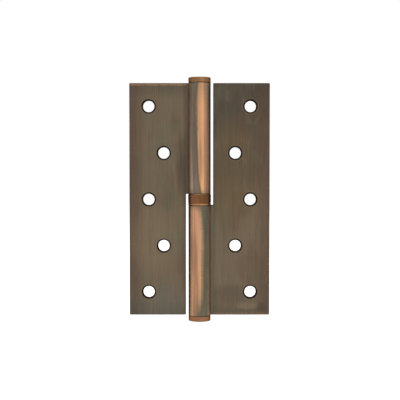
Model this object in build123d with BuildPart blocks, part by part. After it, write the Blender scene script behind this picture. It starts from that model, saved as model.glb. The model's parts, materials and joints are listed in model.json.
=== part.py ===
from build123d import *
from math import acos, asin, cos, degrees, pi, radians, sin
import os

# A lift-off butt hinge, lying open and flat. The pin stands along Z and the origin is its middle.
# X runs across the open leaves. Y runs from the face with the countersinks towards the back.

# Leaves, in millimetres
leaf_height = 125.0
open_width = 75.5
sheet = 2.5
closed_gap = 3.5
leaf_corner_radius = 0.5
leaf_edge_chamfer = 0.3

# Screw holes, staggered in two columns
screw_hole_diameter = 6.1
countersink_diameter = 7.7
countersink_angle = 90.0
hole_pitch = 25.0
outer_column_inset = 10.4
column_spacing = 8.1

# Rolled knuckles
pin_diameter = 6.8
running_clearance = 0.05
swage_radius = 1.5
seam_gap = 0.2
knuckle_side_gap = 1.4

# Pin, pressed into the lower knuckle
pin_engagement = 44.0
pin_seat_clearance = 0.01
pin_seat_recess = 1.0
pin_nose_length = 3.0
pin_nose_diameter = 3.6
pin_tip_chamfer = 0.8
pin_foot_chamfer = 0.5
pin_foot_gap = 1.0

# End caps
cap_height = 2.7
cap_edge_chamfer = 0.4
spigot_length = 6.0
spigot_clearance = 0.02
spigot_chamfer = 0.4

# Thrust bearing between the knuckles
bearing_height = 6.0
bearing_proud = 0.15
bearing_bore_clearance = 0.15
lip_height = 1.1
lip_edge_chamfer = 0.3
case_gap = 0.15
case_wall = 0.55
case_edge_chamfer = 0.4
case_fit = 0.02
race_side_gap = 0.15
ball_diameter = 1.8
ball_clearance = 0.05
ball_count = 14
ball_sides = 10

# Values that follow from those above
half_width = open_width / 2
end_z = leaf_height / 2
bore_radius = pin_diameter / 2 + running_clearance
barrel_radius = bore_radius + sheet
knuckle_length = (leaf_height - bearing_height) / 2
notch_edge = barrel_radius + knuckle_side_gap
face_y = closed_gap / 2
back_y = face_y + sheet
outer_column = half_width - outer_column_inset
inner_column = outer_column - column_spacing

bearing_top = bearing_height / 2
bearing_radius = barrel_radius + bearing_proud
bearing_bore = pin_diameter / 2 + bearing_bore_clearance
lip_top = lip_height - bearing_top
case_bottom = lip_top + case_gap
case_inner = bearing_radius - case_wall
case_roof = bearing_top - case_wall
pitch_radius = (bearing_bore + case_inner) / 2
race_face = ball_diameter / 2 + ball_clearance

# The sheet leaves the roll at this angle from the back, and a reverse bend brings it level again.
leave_angle = degrees(acos((back_y + swage_radius) / (barrel_radius + swage_radius)))
bend_x = (barrel_radius + swage_radius) * sin(radians(leave_angle))
bend_y = back_y + swage_radius

# The roll ends square to its own curve, just short of the leaf's face.
end_angle = asin((face_y - seam_gap) / barrel_radius)
roll_start = 90 - leave_angle
roll_sweep = 360 + degrees(end_angle) - roll_start

os.makedirs("parts", exist_ok=True)


def rolled_leaf(home):
    """A leaf with its knuckle, one sheet. The home plane has X towards the free edge and Y to the back."""
    outward = Axis(home.origin, home.x_dir)
    upward = Axis(home.origin, home.z_dir)
    leaf_face = Plane(home.from_local_coords((0, face_y, 0)), home.x_dir, -home.y_dir)
    with BuildPart() as leaf:
        # The section of the roll, its seam and the reverse bend
        with BuildSketch(home.offset(-end_z)):
            with BuildLine():
                CenterArc((0, 0), barrel_radius, roll_start, roll_sweep)
                CenterArc((0, 0), bore_radius, roll_start, roll_sweep)
                Line(
                    (barrel_radius * cos(end_angle), barrel_radius * sin(end_angle)),
                    (bore_radius * cos(end_angle), bore_radius * sin(end_angle)),
                )
                CenterArc((bend_x, bend_y), swage_radius, 270 - leave_angle, leave_angle)
                CenterArc((bend_x, bend_y), swage_radius + sheet, 270 - leave_angle, leave_angle)
                Polyline((bend_x, back_y), (notch_edge, back_y), (notch_edge, face_y), (bend_x, face_y))
            make_face()
        extrude(amount=knuckle_length)
        # The flat of the leaf, full height, stopping short of the other knuckle
        with BuildSketch(leaf_face):
            with Locations(((notch_edge + half_width) / 2, 0)):
                Rectangle(half_width - notch_edge, leaf_height)
        extrude(amount=-sheet)
        uprights = leaf.edges().filter_by(Axis.Y).group_by(upward)
        fillet(uprights[0] + uprights[-1], leaf_corner_radius)
        # The rim of both faces is broken all round, barrel ends included
        free_edge = leaf.edges().filter_by(Axis.Z).group_by(outward)[-1]
        chamfer(free_edge, leaf_edge_chamfer)
        # Five countersunk holes, three near the free edge and two nearer the barrel
        with Locations(leaf_face):
            for column, holes in ((outer_column, 3), (inner_column, 2)):
                with Locations((column, 0)):
                    with GridLocations(0, 2 * hole_pitch, 1, holes):
                        CounterSinkHole(
                            screw_hole_diameter / 2,
                            countersink_diameter / 2,
                            counter_sink_angle=countersink_angle,
                        )
    return leaf.part


def pressed_cap(profile_plane):
    """A turned cap: a flat head as wide as the barrel and a spigot pressed into the bore."""
    spigot_radius = bore_radius - spigot_clearance
    with BuildPart() as cap:
        with BuildSketch(profile_plane):
            with BuildLine():
                Polyline(
                    (0, cap_height),
                    (barrel_radius, cap_height),
                    (barrel_radius, 0),
                    (spigot_radius, 0),
                    (spigot_radius, -spigot_length),
                    (0, -spigot_length),
                    close=True,
                )
            make_face()
        revolve(axis=Axis.Z)
        outward = Axis(profile_plane.origin, profile_plane.y_dir)
        rims = cap.edges().filter_by(GeomType.CIRCLE).group_by(outward)
        chamfer(rims[-1], cap_edge_chamfer)
        chamfer(rims[0], spigot_chamfer)
    return cap.part


# Leaves: one pressing, used twice, the second turned half a turn in its own plane
frame_leaf = rolled_leaf(Plane.XY)
frame_leaf.label = "frame_leaf"
export_step(frame_leaf, "parts/frame_leaf.step")

door_leaf = rolled_leaf(Plane((0, 0, 0), x_dir=(-1, 0, 0), z_dir=(0, 0, -1)))
door_leaf.label = "door_leaf"
export_step(door_leaf, "parts/door_leaf.step")

# Caps that close both ends of the barrel
top_cap = pressed_cap(Plane((0, 0, end_z), x_dir=(1, 0, 0), z_dir=(0, -1, 0)))
top_cap.label = "top_cap"
export_step(top_cap, "parts/top_cap.step")

bottom_cap = pressed_cap(Plane((0, 0, -end_z), x_dir=(-1, 0, 0), z_dir=(0, -1, 0)))
bottom_cap.label = "bottom_cap"
export_step(bottom_cap, "parts/bottom_cap.step")

# Pin: a thicker seat in the lower knuckle, a running journal and a lead-in nose
with BuildPart() as hinge_pin:
    seat_radius = bore_radius - pin_seat_clearance
    seat_top = -bearing_top - pin_seat_recess
    pin_foot = spigot_length + pin_foot_gap - end_z
    pin_tip = bearing_top + pin_engagement
    with BuildSketch(Plane.XZ):
        with BuildLine():
            Polyline(
                (0, pin_foot),
                (seat_radius, pin_foot),
                (seat_radius, seat_top),
                (pin_diameter / 2, seat_top),
                (pin_diameter / 2, pin_tip - pin_nose_length),
                (pin_nose_diameter / 2, pin_tip),
                (0, pin_tip),
                close=True,
            )
        make_face()
    revolve(axis=Axis.Z)
    pin_rims = hinge_pin.edges().filter_by(GeomType.CIRCLE).group_by(Axis.Z)
    chamfer(pin_rims[0], pin_foot_chamfer)
    chamfer(pin_rims[-1], pin_tip_chamfer)
hinge_pin.part.label = "hinge_pin"
export_step(hinge_pin.part, "parts/hinge_pin.step")

# Bearing case: a drawn cup over the balls, open downwards, with a broken upper edge
with BuildPart() as bearing_case:
    with BuildSketch(Plane.XZ):
        with BuildLine():
            Polyline(
                (bearing_bore, case_roof),
                (bearing_bore, bearing_top),
                (bearing_radius, bearing_top),
                (bearing_radius, case_bottom),
                (case_inner, case_bottom),
                (case_inner, case_roof),
                close=True,
            )
        make_face()
    revolve(axis=Axis.Z)
    case_rims = bearing_case.edges().filter_by(GeomType.CIRCLE).group_by(Axis.Z)[-1]
    chamfer(case_rims.sort_by(SortBy.RADIUS)[-1], case_edge_chamfer)
bearing_case.part.label = "bearing_case"
export_step(bearing_case.part, "parts/bearing_case.step")

# Upper race, seated under the roof of the case
with BuildPart() as upper_race:
    with BuildSketch(Plane.XZ):
        with BuildLine():
            Polyline(
                (bearing_bore, race_face),
                (bearing_bore, case_roof),
                (case_inner - case_fit, case_roof),
                (case_inner - case_fit, race_face),
                close=True,
            )
        make_face()
    revolve(axis=Axis.Z)
upper_race.part.label = "upper_race"
export_step(upper_race.part, "parts/upper_race.step")

# Lower race, with the lip that shows below the case
with BuildPart() as lower_race:
    with BuildSketch(Plane.XZ):
        with BuildLine():
            Polyline(
                (bearing_bore, -bearing_top),
                (bearing_bore, -race_face),
                (case_inner - race_side_gap, -race_face),
                (case_inner - race_side_gap, lip_top),
                (bearing_radius, lip_top),
                (bearing_radius, -bearing_top),
                close=True,
            )
        make_face()
    revolve(axis=Axis.Z)
    lip_rims = lower_race.edges().filter_by(GeomType.CIRCLE).group_by(SortBy.RADIUS)[-1]
    chamfer(lip_rims, lip_edge_chamfer)
lower_race.part.label = "lower_race"
export_step(lower_race.part, "parts/lower_race.step")

# Balls between the flat races, held in a ring by the case. They are sealed in, so each has few flat faces.
with BuildPart() as one_ball:
    ball_waist = ball_diameter / 2 * cos(pi / 8)
    ball_flat = ball_diameter / 2 * sin(pi / 8)
    with BuildSketch():
        RegularPolygon(ball_waist, ball_sides)
    extrude(amount=ball_waist, both=True)
    chamfer(one_ball.faces().filter_by(Axis.Z).edges(), ball_waist - ball_flat)
with BuildPart() as bearing_balls:
    with PolarLocations(pitch_radius, ball_count):
        add(one_ball.part)
bearing_balls.part.label = "bearing_balls"
export_step(bearing_balls.part, "parts/bearing_balls.step")
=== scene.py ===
"""Looks of a lift-off butt hinge in antique copper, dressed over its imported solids.

The pin stands along Z, X runs across the open leaves and the viewer is at -Y. Lengths are in
metres. Colours are written as a screen shows them.
"""
import json
import logging
import math
from dataclasses import dataclass
from enum import Enum, IntEnum
from typing import Iterable, Mapping, Optional, Sequence, Union

import bmesh
import bpy
from bmesh.types import BMEdge, BMesh, BMFace, BMVert
from mathutils import Matrix, Vector


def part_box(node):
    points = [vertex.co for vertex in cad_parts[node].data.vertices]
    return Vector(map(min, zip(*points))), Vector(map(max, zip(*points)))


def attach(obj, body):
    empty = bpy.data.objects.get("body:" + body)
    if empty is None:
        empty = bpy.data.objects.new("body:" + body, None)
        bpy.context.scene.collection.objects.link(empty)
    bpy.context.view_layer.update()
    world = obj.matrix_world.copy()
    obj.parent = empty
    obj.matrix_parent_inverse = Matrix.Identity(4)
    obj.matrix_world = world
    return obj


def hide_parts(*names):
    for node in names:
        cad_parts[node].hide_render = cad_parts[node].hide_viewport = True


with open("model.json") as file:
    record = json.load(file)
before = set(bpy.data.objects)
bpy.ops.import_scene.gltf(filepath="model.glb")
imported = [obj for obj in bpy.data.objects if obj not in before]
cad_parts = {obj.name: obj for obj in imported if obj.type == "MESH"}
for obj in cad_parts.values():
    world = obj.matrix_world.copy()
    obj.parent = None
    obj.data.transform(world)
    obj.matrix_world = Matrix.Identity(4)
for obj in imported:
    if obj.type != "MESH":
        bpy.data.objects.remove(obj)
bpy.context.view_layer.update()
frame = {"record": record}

MM = 0.001
MERGE = 1e-7
NEAR = 0.01 * MM
SMOOTH_BELOW = math.radians(38)
SHARP_ABOVE = math.radians(60)
PIN_MIDDLE = Vector((0, 0, 0))
UP = Vector((0, 0, 1))
ACROSS = Vector((1, 0, 0))

Triple = tuple[float, float, float]
Colour = tuple[float, float, float, float]
Material = bpy.types.Material
Piece = bpy.types.Object
Socket = bpy.types.NodeSocket
Value = Union[float, Colour, Socket]

log = logging.getLogger("hinge")


class Carried(Enum):
    """A choice among solids, each with its node, the body that carries it and a sign."""

    @property
    def node(self) -> str:
        """Name of the solid."""
        return self.value[0]

    @property
    def body(self) -> str:
        """Name of the body that carries it."""
        return self.value[1]

    @property
    def sign(self) -> int:
        """Which way it lies from the middle of the hinge."""
        return self.value[2]


class LeafSide(Carried):
    """The two leaves, with the sign of X from the pin towards the free edge."""

    FRAME = ("frame_leaf", "frame_side", 1)
    DOOR = ("door_leaf", "door_side", -1)


class BarrelEnd(Carried):
    """The caps at the two ends of the barrel, with the sign of Z."""

    TOP = ("top_cap", "door_side", 1)
    BOTTOM = ("bottom_cap", "frame_side", -1)


class LeafRegion(IntEnum):
    """Regions of a leaf that have a finish of their own."""

    FLAT = 0
    ROLL = 1
    RIM = 2
    SINK = 3


@dataclass(frozen=True)
class HingeSizes:
    """Sizes that the pieces share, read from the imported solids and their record."""

    half_width: float
    end_z: float
    barrel_radius: float
    bearing_radius: float
    bearing_top: float
    case_bottom: float
    upper_race_face: float
    upper_race_radius: float
    back_y: float
    hole_radius: float
    holes: tuple[tuple[float, float], ...]
    cap_top: float
    spigot_end: float
    pin_seat_radius: float
    pin_foot: float
    pin_tip: float
    sheet: float = 2.5 * MM
    swage_radius: float = 1.5 * MM
    seam_gap: float = 0.2 * MM
    knuckle_side_gap: float = 1.4 * MM

    @classmethod
    def from_frame(cls, record: dict) -> "HingeSizes":
        """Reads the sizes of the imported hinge.

        Args:
            record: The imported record, with the screw holes among its mounts.

        Returns:
            The sizes, in metres.
        """
        leaf_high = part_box("frame_leaf")[1]
        cap_low, cap_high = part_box("top_cap")
        case_low, case_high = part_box("bearing_case")
        race_low, race_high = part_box("upper_race")
        pin_low, pin_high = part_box("hinge_pin")
        mounts = {mount["name"]: mount for mount in record["mounts"]}
        rows = [m for n, m in mounts.items() if n.startswith("frame_leaf") and "screws" in n]
        holes = set()
        for row in rows:
            half_row = row["dims"]["spacing_y_mm"] * MM / 2
            for end in (-half_row, half_row):
                holes.add((round(row["pos_m"][0], 6), round(row["pos_m"][2] + end, 6)))
        return cls(
            half_width=leaf_high.x,
            end_z=leaf_high.z,
            barrel_radius=cap_high.x,
            bearing_radius=case_high.x,
            bearing_top=case_high.z,
            case_bottom=case_low.z,
            upper_race_face=race_low.z,
            upper_race_radius=race_high.x,
            back_y=mounts["frame_leaf_back"]["pos_m"][1],
            hole_radius=rows[0]["dims"]["hole_r_mm"] * MM,
            holes=tuple(sorted(holes)),
            cap_top=cap_high.z,
            spigot_end=cap_low.z,
            pin_seat_radius=pin_high.x,
            pin_foot=pin_low.z,
            pin_tip=pin_high.z,
        )

    @property
    def bore_radius(self) -> float:
        """Radius of the bore that the roll leaves."""
        return self.barrel_radius - self.sheet

    @property
    def face_y(self) -> float:
        """Place of the leaf's face, on the viewer's side."""
        return self.back_y - self.sheet

    @property
    def notch_edge(self) -> float:
        """Distance from the pin axis to the leaf's straight inner edge."""
        return self.barrel_radius + self.knuckle_side_gap

    @property
    def bend_reach(self) -> float:
        """Distance from the pin axis to the centre of the reverse bend."""
        return self.barrel_radius + self.swage_radius

    @property
    def leave_angle(self) -> float:
        """Angle from the back at which the sheet leaves the roll."""
        return math.acos((self.back_y + self.swage_radius) / self.bend_reach)

    @property
    def bend_centre(self) -> Vector:
        """Centre of the reverse bend that brings the sheet level with the leaf."""
        return Vector((math.sin(self.leave_angle), math.cos(self.leave_angle), 0)) * self.bend_reach

    @property
    def seam_angle(self) -> float:
        """Angle from X at which the roll ends, just short of the leaf's face."""
        return math.asin((self.face_y - self.seam_gap) / self.barrel_radius)

    @property
    def outer_column(self) -> float:
        """Distance of the outer column of holes from the pin axis."""
        return max(x for x, _ in self.holes)

    @property
    def inner_column(self) -> float:
        """Distance of the inner column of holes from the pin axis."""
        return min(x for x, _ in self.holes)

    @property
    def hole_heights(self) -> list[float]:
        """Heights of the holes, from the lowest up."""
        return sorted({z for _, z in self.holes})

    @property
    def hole_pitch(self) -> float:
        """Height from one hole to the next, up both columns."""
        return self.hole_heights[1] - self.hole_heights[0]


def screen_colour(code: str) -> Colour:
    """Turns a colour as a screen shows it into the one that shaders take.

    Args:
        code: Six hexadecimal digits, red first.

    Returns:
        The linear colour, with an alpha of one.
    """
    shown = [int(code[i : i + 2], 16) / 255 for i in (0, 2, 4)]
    red, green, blue = (s / 12.92 if s <= 0.04045 else ((s + 0.055) / 1.055) ** 2.4 for s in shown)
    return (red, green, blue, 1.0)


class Tone(Enum):
    """The colours that the finishes are mixed from, as a screen shows them."""

    PATINA = "675a4a"
    PALE_PATINA = "746451"
    DEEP_PATINA = "4d453b"
    RUSSET = "564539"
    GOLDEN_PATINA = "5f503a"
    TARNISH = "5c5a49"
    ASH = "7a695c"
    SLATE = "62615c"
    SMOKE = "40382e"
    OXIDE = "241e19"
    GRAZING = "6a5c4c"
    WORN_COPPER = "85654f"
    COPPER = "9e795e"
    BRIGHT_COPPER = "c8976d"
    ROSE_COPPER = "ba8a70"
    DULL_COPPER = "b3967e"
    GOLDEN_COPPER = "956c49"
    CAP_COPPER = "825f41"
    RED_COPPER = "8e5f4a"
    BRONZE = "624227"
    STEEL = "a3a19c"
    OILED_STEEL = "7d766b"
    BALL_STEEL = "c9cacc"
    GREASE = "9c8f74"

    @property
    def shade(self) -> Colour:
        """The tone as shaders take it."""
        return screen_colour(self.value)


def empty_material(name: str) -> Material:
    """Makes a material whose node tree is still empty.

    Args:
        name: Name of the material.

    Returns:
        The material.
    """
    material = bpy.data.materials.new(name)
    material.use_nodes = True
    material.node_tree.nodes.clear()
    return material


class NodeSheet:
    """A node tree while it is being filled."""

    def __init__(self, tree: bpy.types.NodeTree) -> None:
        """Takes the tree that is filled."""
        self.tree = tree

    def add(
        self, kind: str, inputs: Optional[Mapping[Union[str, int], Value]] = None, **settings: object
    ) -> bpy.types.Node:
        """Adds a node.

        Args:
            kind: Type of the node.
            inputs: What goes into its sockets, a value or another node's socket.
            settings: The node's own properties.

        Returns:
            The new node.
        """
        node = self.tree.nodes.new(kind)
        for key, setting in settings.items():
            setattr(node, key, setting)
        for key, value in (inputs or {}).items():
            if isinstance(value, bpy.types.NodeSocket):
                self.tree.links.new(value, node.inputs[key])
            else:
                node.inputs[key].default_value = value
        return node

    def math(self, operation: str, first: Value, second: Value = 0.0) -> Socket:
        """Adds one sum, named as its node has it, of one value or two."""
        return self.add("ShaderNodeMath", {0: first, 1: second}, operation=operation).outputs[0]

    def spread(self, value: Value, low: float, high: float) -> Socket:
        """Spreads a share of 0 to 1 over the range from low to high."""
        inputs = {0: value, 1: 0.0, 2: 1.0, 3: low, 4: high}
        return self.add("ShaderNodeMapRange", inputs).outputs[0]

    def seen_directly(self) -> Socket:
        """Gives 1 to what is seen by the camera, or in or through another surface, and 0 to soft light.

        Returns:
            The share, 0 or 1.
        """
        path = self.add("ShaderNodeLightPath")
        seen = path.outputs["Is Camera Ray"]
        for ray in ("Is Glossy Ray", "Is Transmission Ray"):
            seen = self.math("MAXIMUM", seen, path.outputs[ray])
        return seen


class FinishSheet(NodeSheet):
    """The node tree of one finish, which reads Object coordinates."""

    def __init__(self, name: str, tone: Tone) -> None:
        """Starts an empty material.

        Args:
            name: Name of the material.
            tone: The colour that the others are laid over.
        """
        self.material = empty_material(name)
        super().__init__(self.material.node_tree)
        self.colour: Value = tone.shade
        self.place = self.add("ShaderNodeTexCoord").outputs["Object"]
        self.x, self.y, self.z = self.add("ShaderNodeSeparateXYZ", {0: self.place}).outputs

    def total(self, first: Value, *others: Value) -> Value:
        """Adds up several values.

        Args:
            first: First value.
            others: The values after it.

        Returns:
            Their sum.
        """
        for other in others:
            first = self.math("ADD", first, other)
        return first

    def square(self, value: Value) -> Socket:
        """Multiplies a value by itself."""
        return self.math("MULTIPLY", value, value)

    def distance(self, first: Value, second: Value) -> Socket:
        """Gives the length of a straight line from its two legs."""
        return self.math("SQRT", self.total(self.square(first), self.square(second)))

    def step(self, value: Value, low: float, high: float) -> Socket:
        """Rises smoothly from 0 to 1 while a value goes from low to high.

        Args:
            value: The value that is followed.
            low: Where the rise starts.
            high: Where it ends. It may be the lower one, for a fall.

        Returns:
            The share, from 0 to 1.
        """
        if low > high:
            return self.math("SUBTRACT", 1.0, self.step(value, high, low))
        inputs = {0: value, 1: low, 2: high, 3: 0.0, 4: 1.0}
        return self.add("ShaderNodeMapRange", inputs, interpolation_type="SMOOTHSTEP").outputs[0]

    def sway(self, value: Value, size: float) -> Socket:
        """Spreads a share of 0 to 1 to both sides of 0."""
        return self.spread(value, -size, size)

    def noise(
        self, fineness: Triple, detail: float = 2.0, drift: Triple = (0.0, 0.0, 0.0), kink: float = 0.0
    ) -> Socket:
        """Adds a noise that can be drawn out along an axis.

        Args:
            fineness: Features for each metre along X, Y and Z.
            detail: Finer layers that are added.
            drift: Moves the pattern, so that like pieces differ.
            kink: How far the pattern is bent by itself.

        Returns:
            The noise, about 0.3 to 0.7.
        """
        inputs = {"Vector": self.place, "Location": drift, "Scale": fineness}
        spot = self.add("ShaderNodeMapping", inputs, vector_type="POINT").outputs[0]
        layers = {"Vector": spot, "Scale": 1.0, "Detail": detail, "Distortion": kink}
        return self.add("ShaderNodeTexNoise", layers).outputs[0]

    def lathe_marks(self, fineness: float, detail: float) -> Socket:
        """Adds a noise that runs round the pin, as a lathe or a grinding wheel leaves it.

        Args:
            fineness: Features for each metre.
            detail: Finer layers that are added.

        Returns:
            The noise, about 0.3 to 0.7.
        """
        spot = self.add("ShaderNodeCombineXYZ", {0: self.reach(), 2: self.z}).outputs[0]
        layers = {"Vector": spot, "Scale": fineness, "Detail": detail}
        return self.add("ShaderNodeTexNoise", layers).outputs[0]

    def mix(self, share: Value, first: Value, second: Value, way: str = "MIX") -> Socket:
        """Mixes two colours, by the share of the second that goes in."""
        inputs = {0: share, 6: first, 7: second}
        return self.add("ShaderNodeMix", inputs, data_type="RGBA", blend_type=way).outputs[2]

    def brighten(self, factor: Value) -> None:
        """Multiplies the colour by a grey factor."""
        grey = self.add("ShaderNodeCombineColor", {0: factor, 1: factor, 2: factor}).outputs[0]
        self.colour = self.mix(1.0, self.colour, grey, "MULTIPLY")

    def veil(self, share: Value, strength: float, tone: Tone) -> None:
        """Lays a tone over the colour, with the strength that it has where the share is 1."""
        self.colour = self.mix(self.spread(share, 0.0, strength), self.colour, tone.shade)

    def turn(self, side: LeafSide) -> Socket:
        """Gives the angle about the pin, as a share of a turn from -0.5 to 0.5.

        Args:
            side: The leaf towards which it counts as positive. The viewer's side is 0.

        Returns:
            The share of a turn.
        """
        sideways = self.math("MULTIPLY", self.x, float(side.sign))
        front = self.math("MULTIPLY", self.y, -1.0)
        return self.math("DIVIDE", self.math("ARCTAN2", sideways, front), math.tau)

    def reach(self) -> Socket:
        """Gives the distance from the pin axis."""
        return self.distance(self.x, self.y)

    def close(self, roughness: Value, height: Socket, depth: float) -> Material:
        """Puts the shader at the end of the tree.

        Args:
            roughness: Roughness.
            height: What the bump follows.
            depth: Height of the bump in metres.

        Returns:
            The finished material.
        """
        bump = self.add("ShaderNodeBump", {"Strength": 0.6, "Distance": depth, "Height": height}).outputs[0]
        inputs = {"Base Color": self.colour, "Roughness": roughness, "Normal": bump, "Metallic": 1.0}
        shader = self.add("ShaderNodeBsdfPrincipled", inputs)
        shader.inputs["Specular Tint"].default_value = Tone.GRAZING.shade
        self.add("ShaderNodeOutputMaterial", {"Surface": shader.outputs[0]})
        return self.material


@dataclass(frozen=True)
class SoftPatch:
    """A soft patch of a tone over a finish, an ellipse that fades outwards: mostly marks of the finish, in
    places painted shade or a painted highlight.
    """

    x: float
    z: float
    half_width: float
    half_height: float
    tone: Tone
    strength: float

    def lay(self, sheet: FinishSheet) -> None:
        """Lays the mark over the colour of a finish.

        Args:
            sheet: The finish.
        """
        across = sheet.math("DIVIDE", sheet.math("SUBTRACT", sheet.x, self.x), self.half_width)
        along = sheet.math("DIVIDE", sheet.math("SUBTRACT", sheet.z, self.z), self.half_height)
        share = sheet.step(sheet.total(sheet.square(across), sheet.square(along)), 1.0, 0.0)
        sheet.veil(share, self.strength, self.tone)


DOOR_LEAF_MARKS_AND_SHADE = (
    # Painted shade on the leaf next to the barrel, at mid height.
    SoftPatch(-8.5 * MM, 19 * MM, 5 * MM, 20 * MM, Tone.SMOKE, 0.45),
    SoftPatch(-25 * MM, -22 * MM, 15 * MM, 22 * MM, Tone.PALE_PATINA, 0.5),
    SoftPatch(-33 * MM, -58 * MM, 8 * MM, 9 * MM, Tone.DEEP_PATINA, 0.5),
    SoftPatch(-20 * MM, -56 * MM, 22 * MM, 13 * MM, Tone.SLATE, 0.3),
)
FRAME_LEAF_SMUDGES = (
    SoftPatch(26 * MM, -57.5 * MM, 8 * MM, 2.6 * MM, Tone.PALE_PATINA, 0.6),
    SoftPatch(33.3 * MM, -58.2 * MM, 3.6 * MM, 3.2 * MM, Tone.SMOKE, 0.4),
    SoftPatch(34 * MM, 55 * MM, 9 * MM, 16 * MM, Tone.SMOKE, 0.35),
    SoftPatch(9.5 * MM, -26 * MM, 4 * MM, 26 * MM, Tone.PALE_PATINA, 0.4),
    SoftPatch(18 * MM, 14 * MM, 18 * MM, 36 * MM, Tone.GOLDEN_PATINA, 0.7),
    SoftPatch(20 * MM, 18 * MM, 18 * MM, 15 * MM, Tone.DEEP_PATINA, 0.35),
    SoftPatch(18 * MM, -51 * MM, 14 * MM, 7 * MM, Tone.DEEP_PATINA, 0.5),
)
DOOR_KNUCKLE_MARKS_AND_HIGHLIGHT = (
    # Brighter copper on the upper knuckle, partly worn copper and partly a painted highlight, laid where the
    # lamp's highlight falls.
    SoftPatch(1 * MM, 47 * MM, 2.6 * MM, 24 * MM, Tone.BRIGHT_COPPER, 0.6),
    SoftPatch(-0.2 * MM, 19 * MM, 3 * MM, 14 * MM, Tone.WORN_COPPER, 0.4),
)
FRAME_KNUCKLE_SMUDGES = (SoftPatch(-3 * MM, -28 * MM, 3 * MM, 14 * MM, Tone.WORN_COPPER, 0.45),)


@dataclass(frozen=True)
class BrushedPatina:
    """Antique copper on the flat of a leaf, brushed along the pin and toned from end to end."""

    side: LeafSide
    drift: Triple
    worn_end: float
    upper: Tone
    marks_and_painted_light: tuple[SoftPatch, ...]
    # shade: strength of the painted shade on the flat next to the barrel.
    shade: float
    lower: Tone = Tone.PATINA
    worn_strip: float = 1.2 * MM
    strip_fray: float = 0.8 * MM
    dark_band: float = 10 * MM
    band_margin: float = 1 * MM
    barrel_shade_band: float = 2.2 * MM
    hole_band: tuple[float, float] = (2.6 * MM, 1.0 * MM)
    halo_gap: float = 1.35 * MM
    halo_width: float = 0.4 * MM

    def material(self, sizes: HingeSizes) -> Material:
        """Makes the finish.

        Args:
            sizes: Sizes that the wear follows.

        Returns:
            The material.
        """
        sheet = FinishSheet(f"{self.side.node}_brushed", self.lower)
        clouds = sheet.noise((44, 44, 26), 3.0, self.drift)
        tarnish = sheet.noise((95, 95, 70), 3.0, self.drift[::-1], 0.6)
        grain = sheet.noise((2600, 2600, 90), 3.0, self.drift)
        strokes = sheet.noise((700, 700, 26), 2.0, self.drift)
        hairs = sheet.noise((1300, 1300, 90), 1.0, self.drift[::-1])
        rise = sheet.total(sheet.math("DIVIDE", sheet.z, sizes.end_z), sheet.sway(clouds, 0.4))
        sheet.veil(sheet.step(rise, -0.3, 0.8), 1.0, self.upper)
        sheet.veil(sheet.step(clouds, 0.5, 0.64), 0.40, Tone.RUSSET)
        sheet.veil(sheet.step(tarnish, 0.48, 0.64), 0.45, Tone.TARNISH)
        self._darken_borders(sheet, sizes)
        self._ring_holes(sheet, sizes)
        self._wear(sheet, strokes, sizes)
        sheet.brighten(sheet.total(sheet.spread(grain, 0.78, 1.22), sheet.sway(strokes, 0.13)))
        sheet.veil(sheet.step(hairs, 0.63, 0.77), 0.28, Tone.WORN_COPPER)
        return sheet.close(sheet.spread(grain, 0.36, 0.58), grain, 0.03 * MM)

    def _darken_borders(self, sheet: FinishSheet, sizes: HingeSizes) -> None:
        """Darkens the free edge and both ends, lays the patches, and paints shade on the side by the barrel.

        Args:
            sheet: The finish.
            sizes: Outline of the leaf.
        """
        away = sheet.math("ABSOLUTE", sheet.x)
        height = sheet.math("ABSOLUTE", sheet.z)
        borders = ((away, sizes.half_width, 0.70, Tone.RUSSET), (height, sizes.end_z, 0.5, Tone.DEEP_PATINA))
        for place, border, strength, tone in borders:
            sheet.veil(sheet.step(place, border - self.dark_band, border - self.band_margin), strength, tone)
        for soft_patch in self.marks_and_painted_light:
            soft_patch.lay(sheet)
        # Painted shade on the flat next to the barrel, where the roll stands over it.
        painted_barrel_shade = sheet.step(away, sizes.notch_edge + self.barrel_shade_band, sizes.barrel_radius)
        sheet.veil(painted_barrel_shade, self.shade, Tone.SMOKE)

    def _ring_holes(self, sheet: FinishSheet, sizes: HingeSizes) -> None:
        """Darkens the patina round the holes of both columns, with a paler ring in it.

        Args:
            sheet: The finish.
            sizes: Places of the holes.
        """
        away = sheet.math("ABSOLUTE", sheet.x)
        outer_rise = sheet.math("PINGPONG", sheet.z, sizes.hole_pitch)
        inner_rise = sheet.math("SUBTRACT", sizes.hole_pitch, outer_rise)
        outer = sheet.distance(sheet.math("SUBTRACT", away, sizes.outer_column), outer_rise)
        inner = sheet.distance(sheet.math("SUBTRACT", away, sizes.inner_column), inner_rise)
        gap = sheet.math("SUBTRACT", sheet.math("MINIMUM", outer, inner), sizes.hole_radius)
        sheet.veil(sheet.step(gap, *self.hole_band), 0.15, Tone.SMOKE)
        halo = sheet.math("ABSOLUTE", sheet.math("SUBTRACT", gap, self.halo_gap))
        sheet.veil(sheet.step(halo, self.halo_width, 0.0), 0.4, Tone.PALE_PATINA)

    def _wear(self, sheet: FinishSheet, strokes: Socket, sizes: HingeSizes) -> None:
        """Lays a worn copper strip along the end of the leaf where its knuckle is.

        Args:
            sheet: The finish.
            strokes: Long brush strokes, which fray the strip.
            sizes: Sizes that the strip follows.
        """
        rise = sheet.math("MULTIPLY", sheet.z, float(-self.side.sign))
        frayed = sheet.total(rise, sheet.sway(strokes, self.strip_fray))
        strip = sheet.step(frayed, sizes.end_z - 1.5 * self.worn_strip, sizes.end_z - 0.5 * self.worn_strip)
        sheet.veil(strip, self.worn_end, Tone.WORN_COPPER)


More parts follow.
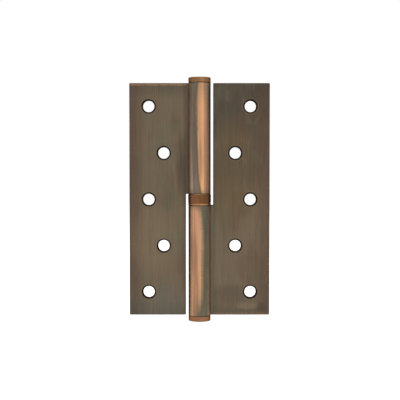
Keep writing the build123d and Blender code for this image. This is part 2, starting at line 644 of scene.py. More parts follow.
@dataclass(frozen=True)
class RubbedKnuckle:
    """Antique copper on a roll: brushed back to copper away from its leaf, patina towards it and behind.

    Angles are shares of a turn from the viewer's side, positive towards the leaf.
    """

    side: LeafSide
    drift: Triple
    patina: Tone
    edge: float
    fray: float
    shoulder: float
    lean: float
    bow: float
    # How strong the painted shade is on the bend beside the barrel.
    painted_bend_shade: float
    marks_and_painted_light: tuple[SoftPatch, ...]
    far_edge: tuple[float, float] = (-0.20, -0.12)
    wave: float = 0.012
    shoulder_rise: float = 0.05
    shoulder_end: tuple[float, float] = (0.27, 0.22)
    bank_width: float = 0.030
    dull_end: float = 4.0 * MM
    dull_cap: float = 14.0 * MM
    joint_shade_line: tuple[float, float] = (0.7 * MM, 0.3 * MM)
    painted_shade_rise: tuple[float, float] = (0.05 * MM, 0.4 * MM)
    bore_depth: tuple[float, float] = (-0.2 * MM, -0.6 * MM)

    def material(self, sizes: HingeSizes) -> Material:
        """Makes the finish.

        Args:
            sizes: Sizes of the roll.

        Returns:
            The material.
        """
        sheet = FinishSheet(f"{self.side.node}_rubbed", self.patina)
        streaks = sheet.noise((2200, 2200, 14), 3.0, self.drift)
        strokes = sheet.noise((520, 520, 10), 2.0, self.drift[::-1])
        scoring = sheet.noise((60, 60, 1700), 1.0, self.drift)
        angle = self._angle(sheet, strokes)
        self._tarnish(sheet, angle)
        self._brush(sheet, angle, self._bend(sheet, angle, scoring, sizes), strokes)
        self._dull_ends_and_shade_joints(sheet, sizes)
        gain = sheet.spread(streaks, 0.80, 1.20)
        sheet.brighten(sheet.total(gain, sheet.sway(strokes, 0.10), sheet.sway(scoring, 0.04)))
        proud = sheet.math("SUBTRACT", sheet.reach(), sizes.barrel_radius)
        # Painted shade on the reverse bend and on the strip of flat beside the barrel.
        sheet.veil(sheet.step(proud, *self.painted_shade_rise), self.painted_bend_shade, Tone.DEEP_PATINA)
        sheet.veil(sheet.step(proud, *self.bore_depth), 1.0, Tone.SMOKE)
        return sheet.close(sheet.spread(streaks, 0.38, 0.58), streaks, 0.03 * MM)

    def _angle(self, sheet: FinishSheet, strokes: Socket) -> Value:
        """Gives the angle about the pin, leaning and frayed as the brush went.

        Args:
            sheet: The finish.
            strokes: Long brush strokes.

        Returns:
            The share of a turn.
        """
        warp = sheet.noise((60, 60, 70), 3.0, self.drift)
        leaning = sheet.total(sheet.turn(self.side), sheet.math("MULTIPLY", sheet.z, self.lean))
        return sheet.total(leaning, sheet.sway(warp, self.wave), sheet.sway(strokes, 0.02))

    def _bend(self, sheet: FinishSheet, angle: Value, scoring: Socket, sizes: HingeSizes) -> Value:
        """Bends the angle towards both ends of the roll, where the copper gets narrower.

        Args:
            sheet: The finish.
            angle: Angle about the pin.
            scoring: Fine marks round the roll.
            sizes: Both ends of the roll.

        Returns:
            The share of a turn.
        """
        height = sheet.math("ABSOLUTE", sheet.z)
        middle = sheet.math("SUBTRACT", height, (sizes.end_z + sizes.bearing_top) / 2)
        share = sheet.math("DIVIDE", middle, (sizes.end_z - sizes.bearing_top) / 2)
        bow = sheet.math("MULTIPLY", sheet.math("POWER", share, 4.0), self.bow)
        return sheet.total(angle, bow, sheet.sway(scoring, 0.014))

    def _tarnish(self, sheet: FinishSheet, angle: Value) -> None:
        """Mottles the patina and lets the brush catch the shoulder next to the leaf.

        Args:
            sheet: The finish.
            angle: Angle about the pin.
        """
        patches = sheet.noise((170, 170, 34), 2.0, self.drift[::-1], 0.4)
        slate = sheet.noise((420, 420, 16), 2.0, self.drift)
        sheet.veil(sheet.step(patches, 0.45, 0.62), 0.6, Tone.PALE_PATINA)
        sheet.veil(sheet.step(patches, 0.48, 0.34), 0.3, Tone.DEEP_PATINA)
        sheet.veil(sheet.step(slate, 0.48, 0.64), 0.5, Tone.SLATE)
        rise = sheet.step(angle, self.shoulder, self.shoulder + self.shoulder_rise)
        sheet.veil(sheet.math("MULTIPLY", rise, sheet.step(angle, *self.shoulder_end)), 0.8, Tone.DULL_COPPER)

    def _brush(self, sheet: FinishSheet, angle: Value, bent: Value, strokes: Socket) -> None:
        """Brushes the front back to copper, up to a dark bank towards the leaf.

        Args:
            sheet: The finish.
            angle: Angle about the pin, which the far edge of the copper follows.
            bent: The bent angle, which its edge towards the leaf follows.
            strokes: Long brush strokes.
        """
        patina = sheet.colour
        sheet.colour = Tone.COPPER.shade
        shine = sheet.noise((340, 340, 16), 2.0, self.drift[::-1])
        blush = sheet.noise((150, 150, 30), 2.0, self.drift, 0.3)
        sheet.veil(sheet.step(shine, 0.38, 0.57), 1.0, Tone.BRIGHT_COPPER)
        sheet.veil(sheet.step(blush, 0.42, 0.60), 0.6, Tone.ROSE_COPPER)
        sheet.veil(sheet.step(strokes, 0.52, 0.66), 0.6, Tone.WORN_COPPER)
        for soft_patch in self.marks_and_painted_light:
            soft_patch.lay(sheet)
        edge = self.edge + self.fray
        front = sheet.step(bent, edge, self.edge - self.fray)
        front = sheet.math("MULTIPLY", front, sheet.step(angle, *self.far_edge))
        sheet.colour = sheet.mix(front, patina, sheet.colour)
        bank = sheet.math("ABSOLUTE", sheet.math("SUBTRACT", bent, edge))
        sheet.veil(sheet.step(bank, self.bank_width, 0.0), 0.6, Tone.GOLDEN_PATINA)

    def _dull_ends_and_shade_joints(self, sheet: FinishSheet, sizes: HingeSizes) -> None:
        """Dulls the roll towards both its ends and paints a dark line of shade round them, where they meet
        the bearing and the cap.

        Args:
            sheet: The finish.
            sizes: Both ends of the roll.
        """
        height = sheet.math("ABSOLUTE", sheet.z)
        from_bearing = sheet.math("SUBTRACT", height, sizes.bearing_top)
        from_cap = sheet.math("SUBTRACT", sizes.end_z, height)
        sheet.veil(sheet.step(from_bearing, self.dull_end, 0.0), 0.5, Tone.TARNISH)
        sheet.veil(sheet.step(from_cap, self.dull_cap, 0.0), 0.33, Tone.TARNISH)
        nearest = sheet.math("MINIMUM", from_bearing, from_cap)
        # Painted shade in the joints against the bearing and the cap.
        sheet.veil(sheet.step(nearest, *self.joint_shade_line), 0.5, Tone.SMOKE)


@dataclass(frozen=True)
class WornRim:
    """Broken edges of a leaf, rubbed back to copper in places."""

    name: str
    drift: Triple

    def material(self) -> Material:
        """Makes the finish.

        Returns:
            The material.
        """
        sheet = FinishSheet(self.name, Tone.SMOKE)
        rubbed = sheet.noise((160, 160, 90), 3.0, self.drift)
        nicks = sheet.noise((1800, 1800, 1800), 2.0, self.drift)
        sheet.veil(sheet.step(rubbed, 0.52, 0.72), 1.0, Tone.WORN_COPPER)
        sheet.brighten(sheet.spread(nicks, 0.75, 1.25))
        return sheet.close(sheet.spread(nicks, 0.3, 0.5), nicks, 0.02 * MM)


@dataclass(frozen=True)
class DarkSink:
    """Screw holes, where the brush does not reach and the patina stays dark."""

    name: str

    def material(self) -> Material:
        """Makes the finish.

        Returns:
            The material.
        """
        sheet = FinishSheet(self.name, Tone.OXIDE)
        mottle = sheet.noise((700, 700, 700), 3.0)
        rings = sheet.noise((300, 6000, 300), 1.0)
        sheet.veil(sheet.step(mottle, 0.4, 0.65), 1.0, Tone.SMOKE)
        return sheet.close(sheet.spread(mottle, 0.4, 0.6), rings, 0.02 * MM)


@dataclass(frozen=True)
class TurnedCopper:
    """Copper plated turnings, caps, bearing case and lipped race, clouded with a redder copper."""

    name: str
    tone: Tone
    redness: float
    drift: Triple
    # edge: tone of the bright ring on the rounded edge, partly rubbed copper and partly a painted highlight.
    edge: Tone = Tone.COPPER
    lathe: float = 4200.0
    rim_start: tuple[float, float] = (0.02 * MM, 0.12 * MM)
    rim_end: tuple[float, float] = (0.45 * MM, 0.25 * MM)

    def material(self, edge_radius: float) -> Material:
        """Makes the finish.

        Args:
            edge_radius: Radius of the rounded edge, which is painted bright round it: partly rubbed copper,
                partly a painted highlight.

        Returns:
            The material.
        """
        sheet = FinishSheet(self.name, self.tone)
        clouds = sheet.noise((130, 130, 60), 3.0, self.drift)
        specks = sheet.noise((1400, 1400, 2600), 2.0)
        lathe = sheet.lathe_marks(self.lathe, 2.0)
        sheet.veil(sheet.step(clouds, 0.4, 0.62), self.redness, Tone.RED_COPPER)
        sheet.brighten(sheet.total(sheet.spread(lathe, 0.86, 1.14), sheet.sway(specks, 0.10)))
        # A bright ring on the rounded edge: partly rubbed copper, partly a painted highlight.
        inset = sheet.math("SUBTRACT", edge_radius, sheet.reach())
        rim = sheet.math("MULTIPLY", sheet.step(inset, *self.rim_start), sheet.step(inset, *self.rim_end))
        sheet.veil(rim, 1.0, self.edge)
        return sheet.close(sheet.spread(specks, 0.30, 0.50), lathe, 0.02 * MM)


@dataclass(frozen=True)
class GroundSteel:
    """Bare steel of the pin and the upper race, ground round and oiled."""

    name: str
    drift: Triple = (0.3, 2.2, 5.1)

    def material(self) -> Material:
        """Makes the finish.

        Returns:
            The material.
        """
        sheet = FinishSheet(self.name, Tone.STEEL)
        rings = sheet.lathe_marks(3200.0, 3.0)
        film = sheet.noise((180, 180, 60), 3.0, self.drift)
        sheet.veil(sheet.step(film, 0.4, 0.65), 0.5, Tone.OILED_STEEL)
        sheet.brighten(sheet.spread(rings, 0.85, 1.15))
        return sheet.close(sheet.spread(film, 0.16, 0.36), rings, 0.01 * MM)


@dataclass(frozen=True)
class PolishedSteel:
    """Bearing balls, polished, with a film of grease."""

    name: str

    def material(self) -> Material:
        """Makes the finish.

        Returns:
            The material.
        """
        sheet = FinishSheet(self.name, Tone.BALL_STEEL)
        film = sheet.noise((700, 700, 700), 2.0)
        sheet.veil(sheet.step(film, 0.48, 0.66), 1.0, Tone.GREASE)
        return sheet.close(sheet.spread(film, 0.05, 0.2), film, 0.004 * MM)


def make_piece(mesh: BMesh, name: str, finishes: Iterable[Material]) -> Piece:
    """Turns a finished mesh into a piece of the scene.

    Args:
        mesh: The mesh, which is used up.
        name: Name of the piece.
        finishes: Materials, in the order of the faces' numbers.

    Returns:
        The piece, at the origin.
    """
    for face in mesh.faces:
        face.smooth = True
    data = bpy.data.meshes.new(name)
    mesh.to_mesh(data)
    mesh.free()
    data.set_sharp_from_angle(angle=SMOOTH_BELOW)
    for finish in finishes:
        data.materials.append(finish)
    piece = bpy.data.objects.new(name, data)
    bpy.context.scene.collection.objects.link(piece)
    normals = piece.modifiers.new("even_shading", "WEIGHTED_NORMAL")
    normals.keep_sharp = True
    return piece


def seat(piece: Piece, node: str, body: str, slot: str) -> Piece:
    """Lets a piece stand for its solid and ride on its body.

    Args:
        piece: The piece.
        node: The solid that it stands for.
        body: The body that carries it.
        slot: The record's material slot. It is not used.

    Returns:
        The same piece.
    """
    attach(piece, body)
    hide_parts(node)
    return piece


def round_off(
    mesh: BMesh, geom: Sequence[Union[BMEdge, BMVert]], size: float, segments: int, affect: str = "EDGES"
) -> list[BMFace]:
    """Rounds edges or corners of a mesh.

    Args:
        mesh: The mesh.
        geom: The edges or corners.
        size: Size of the rounding.
        segments: Steps of the rounding.
        affect: What is rounded, EDGES or VERTICES.

    Returns:
        The new faces.
    """
    return bmesh.ops.bevel(
        mesh, geom=geom, offset=size, offset_type="OFFSET", affect=affect,
        segments=segments, profile=0.5, material=-1,
    )["faces"]


@dataclass(frozen=True)
class Rounding:
    """A circular edge of a turned piece that is rounded."""

    radius: float
    height: float
    size: float
    segments: int

    def holds(self, place: Vector) -> bool:
        """Tells whether a point lies on the edge."""
        return abs(place.xy.length - self.radius) < NEAR and abs(place.z - self.height) < NEAR


@dataclass(frozen=True)
class Turning:
    """A piece turned about the pin axis, from an outline of radius and height.

    A closed outline comes back to its first point. An open one starts and ends on the axis.
    """

    name: str
    node: str
    body: str
    slot: str
    finish: Material
    outline: Sequence[tuple[float, float]]
    roundings: Sequence[Rounding]
    closed: bool = True
    steps: int = 128

    def build(self) -> Piece:
        """Turns the outline, rounds its edges and seats the piece.

        Returns:
            The piece.
        """
        mesh = bmesh.new()
        points = [mesh.verts.new((radius, 0, height)) for radius, height in self.outline]
        following = points[1:] + points[:1] if self.closed else points[1:]
        shape = points + [mesh.edges.new(pair) for pair in zip(points, following)]
        bmesh.ops.spin(
            mesh, geom=shape, cent=PIN_MIDDLE, axis=UP, angle=math.tau, steps=self.steps, use_merge=True
        )
        bmesh.ops.remove_doubles(mesh, verts=mesh.verts, dist=MERGE)
        bmesh.ops.recalc_face_normals(mesh, faces=mesh.faces)
        for rounding in self.roundings:
            ring = [edge for edge in mesh.edges if all(rounding.holds(v.co) for v in edge.verts)]
            round_off(mesh, ring, rounding.size, rounding.segments)
        return seat(make_piece(mesh, self.name, [self.finish]), self.node, self.body, self.slot)


@dataclass
class RolledLeaf:
    """A leaf and its knuckle, rolled and set back from one sheet."""

    side: LeafSide
    sizes: HingeSizes
    finishes: Sequence[Material]
    roll_steps: int = 96
    bend_steps: int = 10
    hole_steps: int = 64
    corner_radius: float = 0.5 * MM
    rim_radius: float = 0.3 * MM
    sink_depth: float = 0.8 * MM
    burr_radius: float = 0.15 * MM

    def build(self) -> Piece:
        """Models the leaf, lays it on its side of the pin and dresses it.

        Returns:
            The piece.
        """
        mesh = bmesh.new()
        self._roll_sheet(mesh)
        self._open_holes(mesh)
        self._thicken(mesh)
        self._sink_holes(mesh)
        self._break_rims(mesh)
        if self.side is LeafSide.DOOR:
            half_turn = Matrix.Rotation(math.pi, 3, "Y")
            bmesh.ops.rotate(mesh, verts=mesh.verts, cent=PIN_MIDDLE, matrix=half_turn)
        piece = make_piece(mesh, f"rolled_{self.side.node}", self.finishes)
        return seat(piece, self.side.node, self.side.body, "leaf_copper")

    def _grow(self, mesh: BMesh, edges: Sequence[BMEdge], way: Vector) -> list[BMEdge]:
        """Draws edges out into a strip of the sheet.

        Args:
            mesh: The mesh.
            edges: The edges.
            way: How far they go.

        Returns:
            The edges at the far side of the strip.
        """
        grown = bmesh.ops.extrude_edge_only(mesh, edges=edges)["geom"]
        bmesh.ops.translate(mesh, verts=[g for g in grown if isinstance(g, BMVert)], vec=way)
        return [g for g in grown if isinstance(g, BMEdge)]

    def _roll_sheet(self, mesh: BMesh) -> None:
        """Makes the outside of the sheet: the roll from its seam, the reverse bend and the flat.

        Args:
            mesh: The empty mesh.
        """
        sizes = self.sizes
        knuckle_end = -sizes.bearing_top
        seam = Vector((math.cos(sizes.seam_angle), math.sin(sizes.seam_angle), 0)) * sizes.barrel_radius
        ends = [mesh.verts.new(seam + UP * z) for z in (-sizes.end_z, knuckle_end)]
        line = [*ends, mesh.edges.new(ends)]
        sweep = math.tau - (math.pi / 2 - sizes.leave_angle) + sizes.seam_angle
        for centre, angle, steps in (
            (PIN_MIDDLE, -sweep, self.roll_steps),
            (sizes.bend_centre, sizes.leave_angle, self.bend_steps),
        ):
            spun = bmesh.ops.spin(mesh, geom=line, cent=centre, axis=UP, angle=angle, steps=steps)
            line = spun["geom_last"]
        edges = [g for g in line if isinstance(g, BMEdge)]
        edges = self._grow(mesh, edges, ACROSS * (sizes.notch_edge - sizes.bend_centre.x))
        for face in mesh.faces:
            face.material_index = LeafRegion.ROLL
        self._grow(mesh, edges, ACROSS * (sizes.half_width - sizes.notch_edge))
        mesh.faces.ensure_lookup_table()
        shelf = max(mesh.faces[-1].edges, key=lambda edge: sum(v.co.z for v in edge.verts))
        self._grow(mesh, [shelf], UP * (sizes.end_z - knuckle_end))
        bmesh.ops.dissolve_edges(mesh, edges=[shelf], use_verts=True)
        for face in mesh.faces:
            if face.calc_center_median().x > sizes.notch_edge:
                face.material_index = LeafRegion.FLAT
        corners = [v for v in mesh.verts if self._is_corner(v.co)]
        round_off(mesh, corners, self.corner_radius, 5, "VERTICES")

    def _is_corner(self, place: Vector) -> bool:
        """Finds the three outer corners of the flat.

        Args:
            place: A point of the sheet.

        Returns:
            Whether it is one of them.
        """
        at_end = abs(abs(place.z) - self.sizes.end_z) < MERGE
        at_edge = abs(place.x - self.sizes.half_width) < MERGE
        at_notch = abs(place.x - self.sizes.notch_edge) < MERGE and place.z > 0
        return at_end and (at_edge or at_notch)

    def _cut(self, mesh: BMesh, faces: Sequence[BMFace], place: Vector, normal: Vector) -> None:
        """Cuts a straight line into faces of the sheet.

        Args:
            mesh: The mesh.
            faces: The faces.
            place: A point on the line.
            normal: Direction across the line.
        """
        edges = {edge for face in faces for edge in face.edges}
        verts = {vert for face in faces for vert in face.verts}
        bmesh.ops.bisect_plane(
            mesh, geom=[*verts, *edges, *faces], dist=MERGE, plane_co=place, plane_no=normal
        )

    def _flats(self, mesh: BMesh) -> list[BMFace]:
        """Lists the faces of the flat."""
        return [face for face in mesh.faces if face.material_index == LeafRegion.FLAT]

    def _open_holes(self, mesh: BMesh) -> None:
        """Cuts a square cell round each screw hole and bridges it to the hole's circle.

        Args:
            mesh: The sheet.
        """
        sizes = self.sizes
        half_cell = (sizes.outer_column - sizes.inner_column) / 2
        for height in sizes.hole_heights:
            for line in (height - half_cell, height + half_cell):
                self._cut(mesh, mesh.faces[:], UP * line, UP)
        middle = sizes.inner_column + half_cell
        for line in (sizes.inner_column - half_cell, middle, sizes.outer_column + half_cell):
            self._cut(mesh, self._flats(mesh), ACROSS * line, ACROSS)
        lie_flat = Matrix.Rotation(math.pi / 2, 4, "X")
        for x, z in sizes.holes:
            centre = Vector((x, sizes.back_y, z))
            cell = min(self._flats(mesh), key=lambda face: (face.calc_center_bounds() - centre).length)
            sides = cell.edges[:]
            bmesh.ops.delete(mesh, geom=[cell], context="FACES_ONLY")
            split = bmesh.ops.subdivide_edges(mesh, edges=sides, cuts=self.hole_steps // 4 - 1)
            parts = [*split["geom_inner"], *split["geom_split"]]
            border = {g for g in parts if isinstance(g, BMEdge)} | set(sides)
            circle = bmesh.ops.create_circle(
                mesh, radius=sizes.hole_radius, segments=self.hole_steps,
                matrix=Matrix.Translation(centre) @ lie_flat,
            )["verts"]
            ring = {edge for vert in circle for edge in vert.link_edges}
            bridge = bmesh.ops.bridge_loops(mesh, edges=[*border, *ring])
            for face in bridge["faces"]:
                face.material_index = LeafRegion.FLAT

    def _thicken(self, mesh: BMesh) -> None:
        """Gives the sheet its thickness, inwards from the outside of the roll.

        Args:
            mesh: The sheet.
        """
        bmesh.ops.remove_doubles(mesh, verts=mesh.verts, dist=MERGE)
        bmesh.ops.recalc_face_normals(mesh, faces=mesh.faces)
        mesh.faces.ensure_lookup_table()
        outward = mesh.faces[0].normal.dot(mesh.faces[0].calc_center_median())
        if outward < 0:
            bmesh.ops.reverse_faces(mesh, faces=mesh.faces)
        bmesh.ops.solidify(mesh, geom=mesh.faces[:], thickness=self.sizes.sheet)
        bmesh.ops.recalc_face_normals(mesh, faces=mesh.faces)

    def _at_hole(self, place: Vector) -> bool:
        """Tells whether a point lies on the wall of a screw hole."""
        across = [math.hypot(place.x - x, place.z - z) for x, z in self.sizes.holes]
        return min(across) < self.sizes.hole_radius + NEAR

    def _sink_holes(self, mesh: BMesh) -> None:
        """Countersinks the holes on the face and takes the burr off at the back.

        Args:
            mesh: The thick sheet.
        """
        sizes = self.sizes
        walls = [face for face in mesh.faces if all(self._at_hole(v.co) for v in face.verts)]
        for face in walls:
            face.material_index = LeafRegion.SINK
        for level, size, segments in (
            (sizes.face_y, self.sink_depth, 1),
            (sizes.back_y, self.burr_radius, 3),
        ):
            rings = [
                edge
                for edge in mesh.edges
                if all(abs(v.co.y - level) < NEAR and self._at_hole(v.co) for v in edge.verts)
            ]
            for face in round_off(mesh, rings, size, segments):
                face.material_index = LeafRegion.SINK

    def _break_rims(self, mesh: BMesh) -> None:
        """Rounds every sharp edge of the outline, both ends of the knuckle included.

        Args:
            mesh: The leaf.
        """
        sharp = [
            edge
            for edge in mesh.edges
            if edge.is_manifold
            and edge.calc_face_angle() > SHARP_ABOVE
            and not any(face.material_index == LeafRegion.SINK for face in edge.link_faces)
        ]
        for face in round_off(mesh, sharp, self.rim_radius, 3):
            face.material_index = LeafRegion.RIM


@dataclass
class EndCap:
    """A turned cap with a spigot that is pressed into the bore."""

    end: BarrelEnd
    sizes: HingeSizes
    finish: Material
    edge_radius: float = 0.4 * MM
    seat_radius: float = 0.12 * MM
    spigot_clearance: float = 0.02 * MM

    def build(self) -> Piece:
        """Models the cap and presses it into its end of the barrel.

        Returns:
            The piece.
        """
        sizes = self.sizes
        radius = sizes.barrel_radius
        spigot = sizes.bore_radius - self.spigot_clearance
        top, rest, foot = (self.end.sign * z for z in (sizes.cap_top, sizes.end_z, sizes.spigot_end))
        return Turning(
            f"turned_{self.end.node}", self.end.node, self.end.body, "cap_copper", self.finish,
            outline=[(0.0, top), (radius, top), (radius, rest), (spigot, rest), (spigot, foot), (0.0, foot)],
            roundings=[
                Rounding(radius, top, self.edge_radius, 5),
                Rounding(radius, rest, self.seat_radius, 3),
                Rounding(spigot, foot, self.edge_radius, 3),
            ],
            closed=False,
        ).build()


@dataclass
class ThrustBearing:
    """Ball bearing between the knuckles: case, two races and a ring of balls."""

    sizes: HingeSizes
    case_finish: Material
    race_finish: Material
    steel_finish: Material
    ball_finish: Material
    bore_radius: float = 3.55 * MM
    case_wall: float = 0.55 * MM
    case_edge: float = 0.4 * MM
    fine_edge: float = 0.1 * MM
    case_gap: float = 0.15 * MM
    lip_edge: float = 0.3 * MM
    race_side_gap: float = 0.15 * MM
    ball_clearance: float = 0.05 * MM
    ball_count: int = 14
    ball_steps: int = 32

    @property
    def roof(self) -> float:
        """Height of the underside of the case's top."""
        return self.sizes.bearing_top - self.case_wall

    @property
    def case_inside(self) -> float:
        """Inner radius of the case."""
        return self.sizes.bearing_radius - self.case_wall

    def build(self) -> list[Piece]:
        """Models and seats the four pieces of the bearing."""
        return [self._case(), self._upper_race(), self._lower_race(), self._balls()]

    def _case(self) -> Piece:
        """Makes the drawn cup over the balls, open downwards.

        Returns:
            The piece.
        """
        sizes = self.sizes
        return Turning(
            "drawn_bearing_case", "bearing_case", "bearing_top", "bearing_bronze", self.case_finish,
            outline=[
                (self.bore_radius, self.roof),
                (self.bore_radius, sizes.bearing_top),
                (sizes.bearing_radius, sizes.bearing_top),
                (sizes.bearing_radius, sizes.case_bottom),
                (self.case_inside, sizes.case_bottom),
                (self.case_inside, self.roof),
            ],
            roundings=[
                Rounding(sizes.bearing_radius, sizes.bearing_top, self.case_edge, 5),
                Rounding(sizes.bearing_radius, sizes.case_bottom, self.fine_edge, 3),
            ],
        ).build()

    def _upper_race(self) -> Piece:
        """Makes the flat race under the roof of the case.

        Returns:
            The piece.
        """
        bore = self.bore_radius
        face, radius = self.sizes.upper_race_face, self.sizes.upper_race_radius
        return Turning(
            "flat_upper_race", "upper_race", "bearing_top", "pin_steel", self.steel_finish,
            outline=[(bore, face), (radius, face), (radius, self.roof), (bore, self.roof)],
            roundings=[Rounding(radius, face, self.fine_edge, 3)],
        ).build()

    def _lower_race(self) -> Piece:
        """Makes the race that the balls run on, with the lip that shows below the case.

        Returns:
            The piece.
        """
        sizes = self.sizes
        step = self.case_inside - self.race_side_gap
        lip_top = sizes.case_bottom - self.case_gap
        return Turning(
            "lipped_lower_race", "lower_race", "frame_side", "bearing_bronze", self.race_finish,
            outline=[
                (self.bore_radius, -sizes.bearing_top),
                (self.bore_radius, -sizes.upper_race_face),
                (step, -sizes.upper_race_face),
                (step, lip_top),
                (sizes.bearing_radius, lip_top),
                (sizes.bearing_radius, -sizes.bearing_top),
            ],
            roundings=[
                Rounding(sizes.bearing_radius, lip_top, self.lip_edge, 4),
                Rounding(sizes.bearing_radius, -sizes.bearing_top, self.lip_edge, 4),
            ],
        ).build()

    def _balls(self) -> Piece:
        """Makes the ring of balls between the races.

        Returns:
            The piece.
        """
        radius = self.sizes.upper_race_face - self.ball_clearance
        beside_pin = Matrix.Translation(((self.bore_radius + self.case_inside) / 2, 0, 0))
        mesh = bmesh.new()
        for number in range(self.ball_count):
            place = Matrix.Rotation(math.tau * number / self.ball_count, 4, "Z") @ beside_pin
            bmesh.ops.create_uvsphere(
                mesh, u_segments=self.ball_steps, v_segments=self.ball_steps // 2, radius=radius, matrix=place
            )
        piece = make_piece(mesh, "round_bearing_balls", [self.ball_finish])
        return seat(piece, "bearing_balls", "ball_ring", "ball_steel")


@dataclass
class HingePin:
    """The pin: a thicker seat in the lower knuckle, a running journal and a lead-in nose."""

    sizes: HingeSizes
    finish: Material
    journal_radius: float = 3.4 * MM
    seat_recess: float = 1.0 * MM
    nose_length: float = 3.0 * MM
    nose_radius: float = 1.8 * MM
    tip_radius: float = 0.8 * MM
    foot_radius: float = 0.5 * MM

    def build(self) -> Piece:
        """Models the pin and presses it into the lower knuckle.

        Returns:
            The piece.
        """
        sizes = self.sizes
        seat_top = -sizes.bearing_top - self.seat_recess
        shoulder = sizes.pin_tip - self.nose_length
        return Turning(
            "ground_hinge_pin", "hinge_pin", "frame_side", "pin_steel", self.finish,
            outline=[
                (0.0, sizes.pin_foot),
                (sizes.pin_seat_radius, sizes.pin_foot),
                (sizes.pin_seat_radius, seat_top),
                (self.journal_radius, seat_top),
                (self.journal_radius, shoulder),
                (self.nose_radius, sizes.pin_tip),
                (0.0, sizes.pin_tip),
            ],
            roundings=[
                Rounding(sizes.pin_seat_radius, sizes.pin_foot, self.foot_radius, 3),
                Rounding(self.journal_radius, shoulder, self.foot_radius, 4),
                Rounding(self.nose_radius, sizes.pin_tip, self.tip_radius, 4),
            ],
            closed=False,
        ).build()


@dataclass(frozen=True)
class SoftLamp:
    """One soft lamp of the studio."""

    name: str
    place: Triple
    size: float
    power: float

    def hang(self) -> None:
        """Hangs the lamp, facing the hinge."""
        data = bpy.data.lights.new(self.name, "AREA")
        data.size = self.size
        data.energy = self.power
        lamp = bpy.data.objects.new(self.name, data)
        lamp.location = self.place
        lamp.rotation_euler = (-Vector(self.place)).to_track_quat("-Z", "Y").to_euler()
        bpy.context.scene.collection.objects.link(lamp)


@dataclass(frozen=True)
class Studio:
    """White surroundings, soft lamps, a pale floor and the camera."""

    sizes: HingeSizes
    view_distance: float = 0.48
    view_height: float = 0.018
    view_side: float = 0.25 * MM
    view_drop: float = 0.30 * MM
    frame_width: float = 215.6 * MM
    floor_drop: float = 45 * MM
    floor_size: float = 3.0
    floor_glow: float = 0.55
    floor_paint: Colour = (0.8, 0.8, 0.8, 1.0)
    ambient: float = 0.6
    lamps: tuple[SoftLamp, ...] = (
        SoftLamp("overhead_lamp", (-0.3, -0.5, 1.2), 1.2, 7.0),
        SoftLamp("side_lamp", (0.5, -0.95, 0.3), 0.8, 1.7),
        SoftLamp("back_lamp", (-0.6, 1.1, 0.8), 1.0, 6.0),
    )

    def build(self) -> None:
        """Sets up everything round the hinge."""
        self._surroundings()
        self._floor()
        for lamp in self.lamps:
            lamp.hang()
        self._camera()
        bpy.context.scene.view_settings.view_transform = "Standard"

    def _surroundings(self) -> None:
        """Makes the white world, which lights softly and shows white."""
        world = bpy.data.worlds.new("white_room")
        world.use_nodes = True
        bpy.context.scene.world = world
        sheet = NodeSheet(world.node_tree)
        background = sheet.tree.nodes["Background"]
        background.inputs["Color"].default_value = (1, 1, 1, 1)
        level = sheet.spread(sheet.seen_directly(), self.ambient, 1.0)
        sheet.tree.links.new(level, background.inputs["Strength"])

    def _floor(self) -> None:
        """Lays the pale floor below the hinge."""
        level = -self.sizes.cap_top - self.floor_drop
        mesh = bmesh.new()
        bmesh.ops.create_grid(
            mesh, x_segments=1, y_segments=1, size=self.floor_size, matrix=Matrix.Translation((0, 0, level))
        )
        data = bpy.data.meshes.new("floor")
        mesh.to_mesh(data)
        mesh.free()
        floor = bpy.data.objects.new("floor", data)
        bpy.context.scene.collection.objects.link(floor)
        material = empty_material("pale_floor")
        sheet = NodeSheet(material.node_tree)
        paint = sheet.add("ShaderNodeBsdfDiffuse", {"Color": self.floor_paint})
        strength = sheet.math("MULTIPLY", sheet.seen_directly(), self.floor_glow)
        glow = sheet.add("ShaderNodeEmission", {"Strength": strength})
        both = sheet.add("ShaderNodeAddShader", {0: paint.outputs[0], 1: glow.outputs[0]})
        sheet.add("ShaderNodeOutputMaterial", {"Surface": both.outputs[0]})
        data.materials.append(material)

    def _camera(self) -> None:
        """Puts the camera square to the leaves, a little above the middle."""
        data = bpy.data.cameras.new("camera")
        aim = Vector((self.view_side, self.sizes.face_y, -self.view_drop))
        place = aim + Vector((0, -self.view_distance, self.view_height))
        data.lens = data.sensor_width * (aim - place).length / self.frame_width
        camera = bpy.data.objects.new("camera", data)
        camera.location = place
        camera.rotation_euler = (aim - place).to_track_quat("-Z", "Y").to_euler()
        bpy.context.scene.collection.objects.link(camera)
        bpy.context.scene.camera = camera


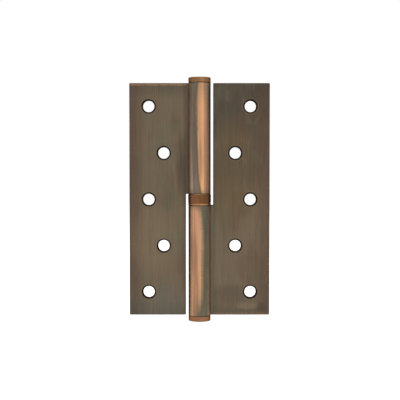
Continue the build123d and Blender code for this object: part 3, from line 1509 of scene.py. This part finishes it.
def leaf_finishes(side: LeafSide, sizes: HingeSizes) -> list[Material]:
    """Makes the finishes of one leaf, in the order of its regions.

    Args:
        side: Which leaf.
        sizes: Sizes that the wear follows.

    Returns:
        The materials.
    """
    if side is LeafSide.FRAME:
        drift = (2.3, 7.1, 4.6)
        brushed = BrushedPatina(side, drift, 0.3, Tone.DEEP_PATINA, FRAME_LEAF_SMUDGES, shade=0.5)
        rubbed = RubbedKnuckle(
            side, drift, Tone.TARNISH, edge=0.036, fray=0.050, shoulder=0.12, lean=-0.1, bow=0.065,
            painted_bend_shade=0.15, marks_and_painted_light=FRAME_KNUCKLE_SMUDGES,
        )
    else:
        drift = (8.7, 1.9, 6.2)
        brushed = BrushedPatina(side, drift, 0.95, Tone.PATINA, DOOR_LEAF_MARKS_AND_SHADE, shade=0.7)
        rubbed = RubbedKnuckle(
            side, drift, Tone.ASH, edge=0.003, fray=0.020, shoulder=0.077, lean=-0.95, bow=0.048,
            painted_bend_shade=0.82, marks_and_painted_light=DOOR_KNUCKLE_MARKS_AND_HIGHLIGHT, far_edge=(-0.22, -0.135),
        )
    return [
        brushed.material(sizes),
        rubbed.material(sizes),
        WornRim(f"{side.node}_rim", drift).material(),
        DarkSink(f"{side.node}_sink").material(),
    ]


def main() -> None:
    """Dresses the hinge piece by piece and sets up the studio."""
    logging.basicConfig(level=logging.INFO, format="%(name)s: %(message)s")
    sizes = HingeSizes.from_frame(frame["record"])
    pieces = [RolledLeaf(side, sizes, leaf_finishes(side, sizes)).build() for side in LeafSide]
    top_copper = TurnedCopper("top_cap_copper", Tone.CAP_COPPER, 0.2, (3.1, 1.7, 0.4))
    bottom_copper = TurnedCopper("bottom_cap_copper", Tone.CAP_COPPER, 0.8, (5.2, 0.6, 2.9))
    for end, copper in ((BarrelEnd.TOP, top_copper), (BarrelEnd.BOTTOM, bottom_copper)):
        pieces.append(EndCap(end, sizes, copper.material(sizes.barrel_radius)).build())
    case_bronze = TurnedCopper("case_bronze", Tone.BRONZE, 0.4, (4.2, 0.4, 7.3), Tone.BRIGHT_COPPER)
    race_copper = TurnedCopper("race_copper", Tone.GOLDEN_COPPER, 0.3, (2.6, 3.3, 1.2), Tone.BRIGHT_COPPER)
    steel = GroundSteel("ground_steel").material()
    pieces += ThrustBearing(
        sizes,
        case_finish=case_bronze.material(sizes.bearing_radius),
        race_finish=race_copper.material(sizes.bearing_radius),
        steel_finish=steel,
        ball_finish=PolishedSteel("ball_steel").material(),
    ).build()
    pieces.append(HingePin(sizes, steel).build())
    for piece in pieces:
        log.info("%s has %d faces", piece.name, len(piece.data.polygons))
    Studio(sizes).build()


if __name__ == "__main__":
    main()
